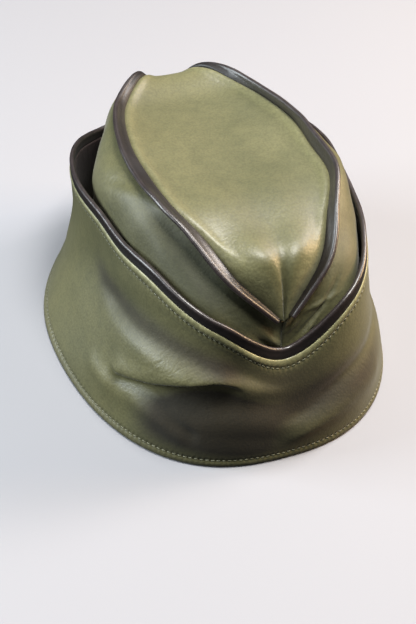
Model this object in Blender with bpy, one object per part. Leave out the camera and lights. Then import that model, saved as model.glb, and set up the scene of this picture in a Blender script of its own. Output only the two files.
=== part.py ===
"""Leather garrison cap: a boat-shaped crown inside a turned-up curtain, with piped seams. Metres, +Z up.

The rim lies on z = 0 with its middle at the origin, the front of the cap is at -Y and the wearer's left at +X.
A station runs round each side of the cap from the back seam (0) to the front seam (1).
"""

import math

import bpy
import numpy as np

# Driving sizes
CAP_LENGTH = 0.202        # rim, front to back, outside
CAP_WIDTH = 0.168         # rim, side to side, outside
CURTAIN_HEIGHT = 0.083    # highest point of the curtain's top edge
CURTAIN_LEAN = 0.024      # how far the curtain leans in from the rim to its top edge, at most
CROWN_BACK_INSET = 0.021  # back point of the crown seams, in from the rim's back
CROWN_FRONT_INSET = 0.013  # front point of the crown seams, in from the rim's front
CROWN_WIDTH = 0.082       # between the two crown seams, at their widest
CROWN_RISE = 0.024        # highest point of the crown seams above the highest point of the curtain
TOP_SAG = 0.004           # how deep the top panel hangs between the seams
TOP_HUMP = 0.003          # height of the two soft humps at the back of the top panel
TOP_PUFF = 0.010          # further fullness of the two humps close to the back point
CROWN_ROOM = 0.0115       # widest space between the crown and the curtain at the curtain's top edge
FOLD_DEPTH = 0.003        # deepest fold of the curtain

# Leather and piping
OUTER_LEATHER = 0.0013    # crown, top panel and curtain
LINING_LEATHER = 0.0010   # curtain facing
HEM_ROUND = 0.0007        # rounding at the outer corner of the rim
PIPING_THICKNESS = 0.0024
CROWN_PIPING_WIDTH = 0.0068
CURTAIN_PIPING_WIDTH = 0.0050
GAP = 0.0003              # between neighbouring pieces
SEAM_DROP = 0.0012        # crown side's upper edge under the piping

# Rim outline: exponents of the superellipse, 2 is a plain ellipse
RIM_POWER_BACK = 2.4
RIM_POWER_FRONT = 1.66

# Curtain sections, at even stations from the back to the front.
# lean: share of CURTAIN_LEAN at the top edge; height: share of CURTAIN_HEIGHT
# low and high: share of that lean which is reached at a third and at two thirds of the height
# room: share of CROWN_ROOM between the curtain and the crown at the top edge
CURTAIN_COLUMNS = ("lean", "height", "low", "high", "room")
CURTAIN_SECTIONS = (
    (0.65, 0.63, 0.08, 0.54, 0.10),
    (0.66, 0.88, 0.16, 0.61, 0.10),
    (0.93, 0.99, 0.28, 0.71, 0.11),
    (0.96, 0.97, 0.40, 0.88, 0.10),
    (0.90, 0.965, 0.52, 1.00, 0.13),
    (0.64, 0.937, 0.65, 1.08, 0.50),
    (0.34, 0.868, 0.74, 1.10, 0.97),
    (0.19, 0.72, 0.50, 0.92, 0.52),
    (0.38, 0.66, 0.34, 0.74, 0.30),
)

# Crown seam, at even stations from the back point to the front point.
# along: share of the way from point to point; half_width: share of CROWN_WIDTH / 2
# height: share of CURTAIN_HEIGHT + CROWN_RISE
# sag and hump: shares of TOP_SAG and TOP_HUMP in the top panel
# lean_left and lean_right: tilt of the piping above the horizontal, as a share of a right angle
# width: share of CROWN_PIPING_WIDTH
# bulge: how far up the crown side stays upright above the curtain, as a share
SEAM_COLUMNS = ("along", "half_width", "height", "sag", "hump", "lean_left", "lean_right", "width", "bulge")
SEAM_SECTIONS = (
    (0.00, 0.000, 0.650, 0.00, 0.00, 0.00, 0.40, 0.45, 0.55),
    (0.07, 0.470, 0.840, 0.00, 1.00, 0.02, 0.42, 0.85, 0.55),
    (0.18, 0.740, 0.950, 0.10, 0.70, 0.25, 0.68, 1.00, 0.70),
    (0.29, 0.950, 1.000, 0.40, 0.20, 0.36, 0.86, 1.00, 0.95),
    (0.43, 0.990, 0.985, 0.70, 0.00, 0.16, 0.92, 1.00, 0.87),
    (0.58, 0.995, 0.970, 0.90, 0.00, 0.33, 1.10, 0.90, 0.68),
    (0.77, 0.802, 0.928, 0.95, 0.00, 0.48, 1.00, 0.75, 0.95),
    (0.92, 0.340, 0.910, 0.35, 0.00, 0.25, 0.00, 0.45, 1.00),
    (1.00, 0.000, 0.600, 0.00, 0.00, 0.10, 0.10, 0.36, 0.90),
)
DART_SHARE = 0.30         # of the panel's half width is the valley between the two humps
PUFF_STATION_SHARE = 0.080  # station where the humps are fullest
PUFF_REACH_SHARE = 0.120  # half length of that fullness, in stations
PUFF_START_SHARE = 0.040  # stations from the back point over which it grows
PINCH_SHARE = 0.13        # of the panel's half width, pinched in between the full humps
PINCH_REACH_SHARE = 0.085  # stations from the back point over which the pinch fades
RISE_SHARE = 0.1          # of the curtain's height, over which the direction of its top edge is read

# Soft folds of the curtain, each a slanted bell-shaped bump.
# side: +1 is the wearer's left; station and level: its middle
# depth: share of FOLD_DEPTH, inwards where negative
# reach: half length in stations; tall: half height in levels; slant: levels climbed for each station
FOLD_COLUMNS = ("side", "station", "level", "depth", "reach", "tall", "slant")
CURTAIN_FOLDS = (
    (1, 0.22, 0.82, -0.60, 0.16, 0.10, -0.7),
    (1, 0.20, 0.62, 0.80, 0.12, 0.10, -0.6),
    (1, 0.14, 0.46, -1.00, 0.12, 0.11, -1.1),
    (1, 0.26, 0.25, 0.45, 0.12, 0.10, -0.4),
    (-1, 0.09, 0.50, -0.65, 0.09, 0.11, -0.4),
    (-1, 0.07, 0.31, 0.35, 0.10, 0.10, -0.4),
    (-1, 0.34, 0.60, -0.55, 0.12, 0.16, 0.8),
    (-1, 0.60, 0.45, -0.50, 0.15, 0.20, 0.0),
)

# Mesh counts, and where the top panel and the crown piping start, as stations
HALF_STATIONS = 25        # spans from the back seam to the front seam
CURTAIN_LEVELS = 8        # spans up the curtain
CROWN_LEVELS = 4          # spans of the crown above the curtain
TOP_SPANS = 8             # spans across the top panel
PIPING_STATIONS = 34      # spans along the crown piping
PIPING_SIDES = 8
TOP_START_SHARE = 0.010
PIPING_START_SHARE = 0.018

OLIVE = (0.27, 0.27, 0.16)
DARK_BROWN = (0.030, 0.024, 0.024)


def table_column(rows, columns, name):
    """One named column of a table, as an array."""
    return np.array([row[columns.index(name)] for row in rows], float)


def smooth_lookup(values, station, mirrored):
    """Catmull-Rom curve through evenly spaced values, read at stations from 0 to 1."""
    if mirrored:
        before, after = values[1], values[-2]
    else:
        before, after = 2 * values[0] - values[1], 2 * values[-1] - values[-2]
    padded = np.concatenate([[before], values, [after]])
    place = np.clip(np.asarray(station, float), 0, 1) * (len(values) - 1)
    first = np.minimum(place.astype(int), len(values) - 2)
    part = place - first
    p0, p1, p2, p3 = (padded[first + k] for k in range(4))
    return p1 + 0.5 * part * (
        p2 - p0 + part * (2 * p0 - 5 * p1 + 4 * p2 - p3 + part * (3 * (p1 - p2) + p3 - p0))
    )


def curtain_column(name, station):
    return smooth_lookup(table_column(CURTAIN_SECTIONS, CURTAIN_COLUMNS, name), station, True)


def seam_column(name, station):
    values = table_column(SEAM_SECTIONS, SEAM_COLUMNS, name)
    return smooth_lookup(values, station, name in ("sag", "hump"))


def rim_radius(angle):
    """Superellipse through the rim's length and width, squarer at the back (angle 0) than at the front."""
    back_share = (1 + np.cos(angle)) / 2
    power = RIM_POWER_FRONT + (RIM_POWER_BACK - RIM_POWER_FRONT) * back_share
    across = np.abs(np.sin(angle)) / (CAP_WIDTH / 2)
    along = np.abs(np.cos(angle)) / (CAP_LENGTH / 2)
    return (across**power + along**power) ** (-1 / power)


def fold_relief(angle, level):
    """Sum of soft, slanted bumps: each falls off as a bell curve along the station and the level."""
    side = np.where(np.sin(angle) >= 0, 1, -1)
    station = np.abs(np.arctan2(np.sin(angle), np.cos(angle))) / math.pi
    relief = np.zeros_like(station + level)
    for fold_side, where, height, depth, reach, tall, slant in CURTAIN_FOLDS:
        signed = np.where(side == fold_side, station, -station) - where
        lift = level - height - slant * signed
        relief = relief + FOLD_DEPTH * depth * np.exp(-((signed / reach) ** 2) - (lift / tall) ** 2)
    return relief * np.clip(level / 0.1, 0, 1) * np.clip((1 - level) / 0.12, 0, 1)


def curtain_top(angle):
    """Height of the curtain's top edge."""
    return CURTAIN_HEIGHT * curtain_column("height", station_of(angle))


def station_of(angle):
    return np.abs(np.arctan2(np.sin(angle), np.cos(angle))) / math.pi


def lean_share(angle, level):
    """Catmull-Rom curve up the wall through 0 at the rim, the low and high shares, and 1 at the top edge."""
    station = station_of(angle)
    low = curtain_column("low", station)
    high = curtain_column("high", station)
    zero = np.zeros_like(low)
    knots = np.stack(np.broadcast_arrays(-low, zero, low, high, zero + 1, 2 - high))
    place = np.clip(level, 0, 1) * 3
    first = np.minimum(place.astype(int), 2)
    part = place - first
    p0, p1, p2, p3 = (np.take_along_axis(knots, (first + k)[None], 0)[0] for k in range(4))
    return p1 + 0.5 * part * (
        p2 - p0 + part * (2 * p0 - 5 * p1 + 4 * p2 - p3 + part * (3 * (p1 - p2) + p3 - p0))
    )


def curtain_radius(angle, level):
    """Radius of the curtain's outer face at an angle from the back and a share of the wall's height."""
    angle, level = np.broadcast_arrays(np.asarray(angle, float), np.asarray(level, float))
    lean = CURTAIN_LEAN * curtain_column("lean", station_of(angle))
    return rim_radius(angle) - lean * lean_share(angle, level) + fold_relief(angle, level)


def inset_radius(angle, level, depth):
    """Radius of a face that lies at this depth under the curtain's outer face, measured square to it."""
    step = 1e-3
    top = curtain_top(angle)
    radius = curtain_radius(angle, level)
    rise = (curtain_radius(angle, level + step) - curtain_radius(angle, level - step)) / (2 * step)
    turn = (curtain_radius(angle + step, level) - curtain_radius(angle - step, level)) / (2 * step)
    top_turn = (curtain_top(angle + step) - curtain_top(angle - step)) / (2 * step)
    slope = rise / top
    sweep = (turn - slope * level * top_turn) / radius
    return radius - depth * np.sqrt(1 + sweep**2 + slope**2)


def polar_points(angle, radius, height):
    """Points from an angle (0 at the back, growing towards the wearer's left), a radius and a height."""
    angle, radius, height = np.broadcast_arrays(angle, radius, height)
    return np.stack([radius * np.sin(angle), radius * np.cos(angle), height], -1)


def ring_angles():
    return np.linspace(0, 2 * math.pi, 2 * HALF_STATIONS, endpoint=False)[:, None]


def level_steps(bottom, angle):
    """Levels from the height `bottom` to the top edge, one row for each angle."""
    start = bottom / curtain_top(angle)
    return np.clip(np.linspace(0, 1, CURTAIN_LEVELS + 1)[None, :], start, 1)


def crown_depth():
    """Depth of the crown's outer face under the curtain's outer face where the two are sewn together."""
    return OUTER_LEATHER + GAP + LINING_LEATHER + GAP


def hem_depth():
    """The hem is turned in under the lining and the crown side."""
    return crown_depth() + OUTER_LEATHER


def leather_material(name, colour, roughness):
    material = bpy.data.materials.new(name)
    material.use_nodes = True
    shader = material.node_tree.nodes["Principled BSDF"]
    shader.inputs["Base Color"].default_value = (*colour, 1)
    shader.inputs["Roughness"].default_value = roughness
    shader.inputs["Metallic"].default_value = 0
    material.diffuse_color = (*colour, 1)
    return material


def mesh_object(name, points, faces, material):
    mesh = bpy.data.meshes.new(name)
    mesh.from_pydata([tuple(p) for p in points], [], faces)
    mesh.validate()
    mesh.materials.append(material)
    mesh.shade_smooth()
    mesh.set_sharp_from_angle(angle=math.radians(40))
    piece = bpy.data.objects.new(name, mesh)
    bpy.context.scene.collection.objects.link(piece)
    return piece


def wall(name, outer, inner, ring, material, flip=False):
    """A closed leather wall between two grids of points, [station][level], joined along every edge."""
    stations, levels = outer.shape[:2]
    spans = stations if ring else stations - 1
    points = np.concatenate([outer.reshape(-1, 3), inner.reshape(-1, 3)])
    inner_start = stations * levels

    def at(layer, i, j):
        return layer * inner_start + (i % stations) * levels + j

    faces = []
    for i in range(spans):
        for j in range(levels - 1):
            faces.append((at(0, i, j), at(0, i, j + 1), at(0, i + 1, j + 1), at(0, i + 1, j)))
            faces.append((at(1, i, j), at(1, i + 1, j), at(1, i + 1, j + 1), at(1, i, j + 1)))
        faces.append((at(0, i, 0), at(0, i + 1, 0), at(1, i + 1, 0), at(1, i, 0)))
        top = levels - 1
        faces.append((at(0, i, top), at(1, i, top), at(1, i + 1, top), at(0, i + 1, top)))
    if not ring:
        for j in range(levels - 1):
            faces.append((at(0, 0, j), at(1, 0, j), at(1, 0, j + 1), at(0, 0, j + 1)))
            end = stations - 1
            faces.append((at(0, end, j), at(0, end, j + 1), at(1, end, j + 1), at(1, end, j)))
    if flip:
        faces = [face[::-1] for face in faces]
    return mesh_object(name, points, faces, material)


def build_curtain(material):
    """The olive outer band: turned in along the rim as a flat hem, and rounded at its outer corner."""
    angle = ring_angles()
    level = level_steps(OUTER_LEATHER, angle)[:, 1:]
    top = curtain_top(angle)
    hem_end = inset_radius(angle, 0 * angle, hem_depth())
    corner = inset_radius(angle, 0 * angle, HEM_ROUND)
    round_level = HEM_ROUND / top
    outer = np.concatenate([
        polar_points(angle, hem_end, 0),
        polar_points(angle, corner, 0),
        polar_points(angle, curtain_radius(angle, round_level), HEM_ROUND),
        polar_points(angle, curtain_radius(angle, level), level * top),
    ], 1)
    inner_corner = inset_radius(angle, OUTER_LEATHER / top, OUTER_LEATHER)
    middle = (hem_end + inner_corner) / 2
    inner = np.concatenate([
        polar_points(angle, hem_end, OUTER_LEATHER),
        polar_points(angle, middle, OUTER_LEATHER),
        polar_points(angle, inner_corner, OUTER_LEATHER),
        polar_points(angle, inset_radius(angle, level, OUTER_LEATHER), level * top),
    ], 1)
    return wall("curtain", outer, inner, True, material)


def build_lining(material):
    """The dark facing inside the curtain, from the hem to the top edge."""
    angle = ring_angles()
    level = level_steps(OUTER_LEATHER + GAP, angle)
    height = level * curtain_top(angle)
    near = OUTER_LEATHER + GAP
    outer = polar_points(angle, inset_radius(angle, level, near), height)
    inner = polar_points(angle, inset_radius(angle, level, near + LINING_LEATHER), height)
    return wall("curtain_lining", outer, inner, True, material)


def seam_points(station, side):
    """The crown seam, where the top panel meets the crown side."""
    back = CAP_LENGTH / 2 - CROWN_BACK_INSET
    length = CAP_LENGTH - CROWN_BACK_INSET - CROWN_FRONT_INSET
    return np.stack([
        side * CROWN_WIDTH / 2 * seam_column("half_width", station),
        back - length * seam_column("along", station),
        (CURTAIN_HEIGHT + CROWN_RISE) * seam_column("height", station),
    ], -1)


def piping_lean(station, side):
    """Tilt of the crown piping above the horizontal, in radians."""
    return math.pi / 2 * seam_column("lean_left" if side > 0 else "lean_right", station)


def piping_frame(station, side):
    """Unit vectors at each station of a crown seam: towards the piping's fold, under it, and up from the panel."""
    path = seam_points(station, side)
    tangent = np.gradient(path, axis=0)
    flat = np.cross(tangent, (0, 0, -side))
    flat /= np.linalg.norm(flat, axis=1, keepdims=True)
    up = np.cross(tangent, flat)
    up *= np.sign(up[:, 2:3]) / np.linalg.norm(up, axis=1, keepdims=True)
    lean = piping_lean(station, side)[:, None]
    return flat * np.cos(lean) + up * np.sin(lean), flat * np.sin(lean) - up * np.cos(lean), up


def crown_side_face(side):
    """Outer face of one crown side: nested in the curtain below, then curving in to the crown seam."""
    station = np.linspace(0, 1, HALF_STATIONS + 1)
    angle = (side * math.pi * station)[:, None]
    level = level_steps(OUTER_LEATHER + GAP, angle)
    room = CROWN_ROOM * curtain_column("room", station)[:, None]
    depth = crown_depth() + room * level * level * (3 - 2 * level)
    low = polar_points(angle, inset_radius(angle, level, depth), level * curtain_top(angle))
    waist = low[:, -1]
    seam = seam_points(station, side)
    upright = low[:, -1] - low[:, -2]
    upright = upright / upright[:, 2:3]
    bulge = seam_column("bulge", station)[:, None]
    bend = waist + upright * bulge * (seam[:, 2:3] - waist[:, 2:3])
    under, up = piping_frame(station, side)[1:]
    last = seam + under * (PIPING_THICKNESS / 2 + GAP) - up * SEAM_DROP
    part = np.linspace(0, 1, CROWN_LEVELS + 1)[None, 1:, None]
    high = (1 - part) ** 2 * waist[:, None] + 2 * part * (1 - part) * bend[:, None] + part**2 * last[:, None]
    return np.concatenate([low, high], 1)


def grid_normals(grid):
    """Unit normals of a grid of points, by central differences."""
    along = np.gradient(grid, axis=0)
    up = np.gradient(grid, axis=1)
    normal = np.cross(up, along)
    return normal / np.linalg.norm(normal, axis=-1, keepdims=True)


def build_crown_side(name, side, material):
    """One olive side panel, cut off square at the back and front seams, where its twin meets it."""
    outer = crown_side_face(side)
    normal = grid_normals(outer)
    outward = np.sign((normal * (outer - outer.mean((0, 1)))).sum(-1).mean())
    normal = normal * outward
    for end in (0, -1):
        normal[end, :, 0] = 0
        normal[end] /= (normal[end] ** 2).sum(-1, keepdims=True)
    inner = outer - OUTER_LEATHER * normal
    inner[:, 0, 2] = outer[:, 0, 2]
    for grid in (outer, inner):
        for end in (0, -1):
            grid[end, :, 0] = side * GAP / 2
    return wall(name, outer, inner, False, material, flip=side < 0)


def build_top(material):
    """The olive top panel: an almond that hangs a little in the middle, with two humps at the back."""
    station = np.linspace(TOP_START_SHARE, 1 - TOP_START_SHARE, HALF_STATIONS + 1)[:, None]
    across = np.linspace(-1, 1, TOP_SPANS + 1)[None, :]
    seam = seam_points(station, 1)
    dart = 1 - np.exp(-((across / DART_SHARE) ** 2))
    pinch = 1 - np.exp(-((across / PINCH_SHARE) ** 2) - (station / PINCH_REACH_SHARE) ** 2)
    full = np.exp(-(((station - PUFF_STATION_SHARE) / PUFF_REACH_SHARE) ** 2))
    full = full * (1 - np.exp(-((station / PUFF_START_SHARE) ** 2)))
    rise = TOP_HUMP * seam_column("hump", station) * dart - TOP_SAG * seam_column("sag", station)
    height = seam[..., 2] + rise * (1 - across**2) + TOP_PUFF * full * pinch * (1 - across**4)
    upper = np.stack(np.broadcast_arrays(seam[..., 0] * across, seam[..., 1], height), -1)
    row = TOP_SPANS + 1
    faces = [
        (i * row + j, i * row + j + 1, (i + 1) * row + j + 1, (i + 1) * row + j)
        for i in range(HALF_STATIONS)
        for j in range(TOP_SPANS)
    ]
    panel = mesh_object("crown_top", upper.reshape(-1, 3), [face[::-1] for face in faces], material)
    leather = panel.modifiers.new("leather", "SOLIDIFY")
    leather.thickness = OUTER_LEATHER
    leather.offset = -1
    return panel


def strip_section(width, thickness):
    """Closed outline of a folded strip: flat sides and a round at each long edge. Columns: out, side."""
    angle = (np.arange(PIPING_SIDES) + 0.5) * 2 * math.pi / PIPING_SIDES
    reach = thickness / 2 / math.cos(math.pi / PIPING_SIDES)
    out = reach * np.cos(angle)
    out = np.where(out > 0, out + width - thickness / 2, out + thickness / 2)
    return np.stack([out, reach * np.sin(angle)], -1)


def sweep(name, path, out, width, ring, material):
    """A piping strip swept along a path; `out` points to its folded edge, `width` is given at each point."""
    tangent = np.gradient(path, axis=0) if not ring else np.roll(path, -1, 0) - np.roll(path, 1, 0)
    tangent /= np.linalg.norm(tangent, axis=1, keepdims=True)
    out = out - (out * tangent).sum(1, keepdims=True) * tangent
    out /= np.linalg.norm(out, axis=1, keepdims=True)
    across = np.cross(tangent, out)
    section = np.array([strip_section(w, PIPING_THICKNESS) for w in width])
    points = path[:, None] + section[..., :1] * out[:, None] + section[..., 1:] * across[:, None]
    count = len(path)
    faces = []
    for i in range(count if ring else count - 1):
        for j in range(PIPING_SIDES):
            a = i * PIPING_SIDES
            b = (i + 1) % count * PIPING_SIDES
            k = (j + 1) % PIPING_SIDES
            faces.append((a + j, a + k, b + k, b + j))
    if not ring:
        faces.append(tuple(range(PIPING_SIDES))[::-1])
        faces.append(tuple((count - 1) * PIPING_SIDES + j for j in range(PIPING_SIDES)))
    return mesh_object(name, points.reshape(-1, 3), faces, material)


def build_crown_piping(name, side, material):
    """The strip that stands out of one crown seam; it leans as far as the seam table says."""
    station = np.linspace(PIPING_START_SHARE, 1 - PIPING_START_SHARE, PIPING_STATIONS + 1)
    path = seam_points(station, side)
    out = piping_frame(station, side)[0]
    width = CROWN_PIPING_WIDTH * seam_column("width", station)
    return sweep(name, path + GAP * out, out, width, False, material)


def build_curtain_piping(material):
    """The strip that stands up out of the curtain's top edge, between the curtain and its lining."""
    angle = ring_angles()[:, 0]
    level = np.ones_like(angle)
    middle = (OUTER_LEATHER + GAP + LINING_LEATHER) / 2
    path = polar_points(angle, inset_radius(angle, level, middle), curtain_top(angle) + GAP)
    lower = level - RISE_SHARE
    below = polar_points(angle, inset_radius(angle, lower, middle), lower * curtain_top(angle))
    out = path - below
    out /= np.linalg.norm(out, axis=1, keepdims=True)
    width = CURTAIN_PIPING_WIDTH * np.ones_like(angle)
    return sweep("curtain_piping", path, out, width, True, material)


def main():
    for old in list(bpy.data.objects):
        bpy.data.objects.remove(old)
    olive = leather_material("olive_leather", OLIVE, 0.42)
    dark = leather_material("dark_leather", DARK_BROWN, 0.35)
    build_curtain(olive)
    build_lining(dark)
    build_crown_side("crown_side_left", 1, olive)
    build_crown_side("crown_side_right", -1, olive)
    build_top(olive)
    build_crown_piping("crown_piping_left", 1, dark)
    build_crown_piping("crown_piping_right", -1, dark)
    build_curtain_piping(dark)


main()
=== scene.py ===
import math

import bpy
import numpy as np
from mathutils import Matrix, Vector


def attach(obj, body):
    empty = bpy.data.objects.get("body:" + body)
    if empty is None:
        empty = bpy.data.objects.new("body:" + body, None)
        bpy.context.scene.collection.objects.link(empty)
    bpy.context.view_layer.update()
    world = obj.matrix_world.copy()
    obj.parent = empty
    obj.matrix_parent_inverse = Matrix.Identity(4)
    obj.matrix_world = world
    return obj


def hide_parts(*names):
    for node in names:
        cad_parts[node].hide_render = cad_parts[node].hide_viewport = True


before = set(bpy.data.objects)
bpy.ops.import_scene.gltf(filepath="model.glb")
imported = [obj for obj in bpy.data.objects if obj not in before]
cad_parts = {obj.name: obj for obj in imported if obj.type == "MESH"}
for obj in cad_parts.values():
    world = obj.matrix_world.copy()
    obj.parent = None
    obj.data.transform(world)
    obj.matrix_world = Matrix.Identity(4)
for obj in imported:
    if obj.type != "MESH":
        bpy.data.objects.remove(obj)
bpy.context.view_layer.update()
print("frame loaded:", sorted(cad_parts))

# Leather garrison cap. Metres, +Z up, front at -Y, wearer's left at +X.
# A station runs round each side from the back seam (0) to the front seam (1).
cap = {
    "length": 0.202,
    "width": 0.168,
    "outerLeather": 0.0013,
    "liningLeather": 0.0010,
    "gap": 0.0003,
    "rimPowerBack": 2.4,
    "rimPowerFront": 1.66,
}

curtain = {
    "height": 0.083,
    "lean": 0.024,
    # at even stations: lean, height, low, high, room
    "sections": (
        (0.65, 0.63, 0.08, 0.54, 0.10),
        (0.66, 0.88, 0.16, 0.61, 0.10),
        (0.93, 0.99, 0.28, 0.71, 0.11),
        (0.96, 0.97, 0.40, 0.88, 0.10),
        (0.90, 0.965, 0.52, 1.00, 0.13),
        (0.64, 0.937, 0.65, 1.08, 0.50),
        (0.34, 0.868, 0.74, 1.10, 0.97),
        (0.19, 0.72, 0.50, 0.92, 0.52),
        (0.38, 0.66, 0.34, 0.74, 0.30),
    ),
    "foldDepth": 0.003,
    # side, station, level, depth, reach, tall, slant
    "folds": (
        (1, 0.22, 0.82, -0.60, 0.16, 0.10, -0.7),
        (1, 0.20, 0.62, 0.80, 0.12, 0.10, -0.6),
        (1, 0.14, 0.46, -1.00, 0.12, 0.11, -1.1),
        (1, 0.26, 0.25, 0.45, 0.12, 0.10, -0.4),
        (-1, 0.09, 0.50, -0.65, 0.09, 0.11, -0.4),
        (-1, 0.07, 0.31, 0.35, 0.10, 0.10, -0.4),
        (-1, 0.34, 0.60, -0.55, 0.12, 0.16, 0.8),
        (-1, 0.60, 0.45, -0.50, 0.15, 0.20, 0.0),
    ),
    # creases: signed stations, levels, depth in metres, width above and below in levels, fade in stations
    "creases": (
        ((0.11, 0.13, 0.17, 0.21, 0.245, 0.285), (0.72, 0.68, 0.59, 0.49, 0.43, 0.37),
         0.0026, 0.095, 0.022, 0.035),
        ((0.10, 0.13, 0.17, 0.21, 0.245, 0.285), (0.66, 0.62, 0.53, 0.43, 0.36, 0.30),
         -0.0018, 0.030, 0.140, 0.035),
        ((0.02, 0.08, 0.14, 0.20, 0.25), (0.30, 0.30, 0.28, 0.24, 0.20), -0.0012, 0.140, 0.100, 0.050),
        ((0.09, 0.12, 0.15, 0.20, 0.24, 0.27, 0.34), (0.79, 0.76, 0.73, 0.70, 0.67, 0.65, 0.64),
         -0.0024, 0.100, 0.045, 0.110),
        ((0.15, 0.17, 0.20, 0.23, 0.28), (0.24, 0.28, 0.35, 0.38, 0.35), -0.0011, 0.040, 0.050, 0.020),
        ((0.17, 0.21, 0.25, 0.30, 0.36), (0.20, 0.26, 0.27, 0.25, 0.26), 0.0009, 0.050, 0.060, 0.030),
        ((-0.195, -0.15, -0.107, -0.057, -0.03), (0.51, 0.50, 0.50, 0.485, 0.45),
         -0.0013, 0.080, 0.050, 0.060),
        ((-0.18, -0.12, -0.06, -0.01), (0.31, 0.36, 0.35, 0.26), 0.0007, 0.060, 0.080, 0.030),
        ((0.56, 0.61, 0.66, 0.72), (0.52, 0.40, 0.28, 0.20), -0.0007, 0.120, 0.100, 0.060),
        ((-0.47, -0.40, -0.33, -0.26), (0.50, 0.56, 0.63, 0.66), -0.0012, 0.050, 0.040, 0.040),
        ((-0.72, -0.62, -0.52), (0.42, 0.46, 0.44), -0.0009, 0.060, 0.060, 0.040),
    ),
    "hemBand": 0.0042,        # stitch line above the rim
    "edgeBand": 0.0042,       # stitch line below the top edge
    "channel": 0.00035,       # depth of the stitched channels
    "channelWidth": 0.0008,
    "pad": 0.00030,           # swelling of the bands beside them
    "hemPadMiddle": 0.48,     # middle and reach of the pads as shares of the bands
    "edgePadMiddle": 0.50,
    "padReach": 0.42,
    "uneven": 0.00022,
    "edgeRound": 0.0007,
    "stitchPitch": 0.0026,
    "turns": 720,
    "rows": 92,
    # rows close to the rim and to the top edge, where the stitched bands need them
    "lowHeights": (0.0011, 0.0016, 0.0022, 0.0028, 0.0034, 0.0039, 0.0044, 0.0049, 0.0056),
    "highGaps": (0.0060, 0.0052, 0.0046, 0.0041, 0.0036, 0.0030, 0.0024, 0.0018, 0.0013),
}

crown = {
    "backInset": 0.021,
    "frontInset": 0.013,
    "width": 0.082,
    "rise": 0.024,
    "sag": 0.004,
    "hump": 0.003,
    "room": 0.0115,
    "seamDrop": 0.0012,
    "sewnIn": 0.0002,
    "topStart": 0.010,
    "dartShare": 0.30,
    "puff": 0.0100,           # further fullness of the two humps, close to the back point
    "puffStation": 0.080,
    "puffReach": 0.120,
    "puffStart": 0.040,
    "pinchShare": 0.13,       # the dart between them, in shares of the half width and in stations
    "pinchReach": 0.085,
    "seamDraw": 0.0004,       # the leather is drawn in at the piping and at the two end seams
    "seamDrawWidth": 0.0016,
    "endDraw": 0.0005,
    "endDrawStations": 0.008,
    "sideStations": 340,
    "lowRows": 26,
    "highRows": 60,
    "topStations": 360,
    "topRows": 81,
    # at even stations: along, halfWidth, height, sag, hump, leanLeft, leanRight, pipingWidth, bulge
    "sections": (
        (0.00, 0.000, 0.650, 0.00, 0.00, 0.00, 0.40, 0.45, 0.55),
        (0.07, 0.470, 0.840, 0.00, 1.00, 0.02, 0.42, 0.85, 0.55),
        (0.18, 0.740, 0.950, 0.10, 0.70, 0.25, 0.68, 1.00, 0.70),
        (0.29, 0.950, 1.000, 0.40, 0.20, 0.36, 0.86, 1.00, 0.95),
        (0.43, 0.990, 0.985, 0.70, 0.00, 0.16, 0.92, 1.00, 0.87),
        (0.58, 0.995, 0.970, 0.90, 0.00, 0.33, 1.10, 0.90, 0.68),
        (0.77, 0.802, 0.928, 0.95, 0.00, 0.48, 1.00, 0.75, 0.95),
        (0.92, 0.340, 0.910, 0.35, 0.00, 0.25, 0.00, 0.45, 1.00),
        (1.00, 0.000, 0.600, 0.00, 0.00, 0.10, 0.10, 0.36, 0.90),
    ),
    # side folds: side, station, share of the way from waist to seam, depth, reach, tall, slant
    "folds": (
        (1, 0.52, 0.56, -0.0004, 0.055, 0.14, -3.2),
        (1, 0.24, 0.74, -0.0020, 0.170, 0.24, 0.0),
        (1, 0.020, 0.34, 0.0012, 0.022, 0.12, 5.0),
        (1, 0.030, 0.16, -0.0009, 0.022, 0.09, 4.0),
        (1, 0.12, 0.50, -0.0005, 0.060, 0.16, 2.0),
        (1, 0.27, 0.45, 0.0006, 0.080, 0.20, 0.5),
        (-1, 0.022, 0.64, 0.0009, 0.015, 0.10, 2.0),
        (-1, 0.052, 0.22, 0.0012, 0.016, 0.10, 8.0),
        (-1, 0.078, 0.42, -0.0014, 0.040, 0.07, 3.4),
        (-1, 0.078, 0.53, 0.0009, 0.030, 0.07, -6.0),
        (-1, 0.20, 0.55, 0.0005, 0.060, 0.20, 1.0),
        (-1, 0.55, 0.50, -0.0008, 0.060, 0.18, -2.0),
    ),
}

piping = {
    "thickness": 0.0024,
    "crownWidth": 0.0068,
    "curtainWidth": 0.0050,
    "start": 0.018,
    "tongue": 0.0022,         # how far the sewn edge reaches down into the seam
    "curtainTongue": 0.0012,
    "pullIn": 0.10,           # how much thinner the strip is between its seam and its fold
    "sway": 0.018,            # unevenness of its lean in radians, and of its width as a share
    "uneven": 0.012,
    "crownStations": 420,
    "curtainTurns": 720,
}


def splineValue(knots, t):
    # Catmull-Rom curve between the second and the third of four knots
    a, b, c, d = knots
    return b + 0.5 * t * (c - a + t * (2 * a - 5 * b + 4 * c - d + t * (3 * (b - c) + d - a)))


def smoothTable(values, place, mirrored):
    # Catmull-Rom curve through evenly spaced values, read at places from 0 to 1
    values = np.asarray(values, float)
    before = values[1] if mirrored else 2 * values[0] - values[1]
    after = values[-2] if mirrored else 2 * values[-1] - values[-2]
    knots = np.concatenate([[before], values, [after]])
    scaled = np.clip(np.asarray(place, float), 0, 1) * (len(values) - 1)
    first = np.minimum(scaled.astype(int), len(values) - 2)
    return splineValue([knots[first + k] for k in range(4)], scaled - first)


def curtainColumn(index, station):
    # one column of the curtain's sections, mirrored at the back and at the front
    return smoothTable([row[index] for row in curtain["sections"]], station, True)


def seamColumn(index, station):
    # one column of the crown's sections; sag and hump are mirrored at their ends, the rest run straight on
    return smoothTable([row[index] for row in crown["sections"]], station, index in (3, 4))


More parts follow.
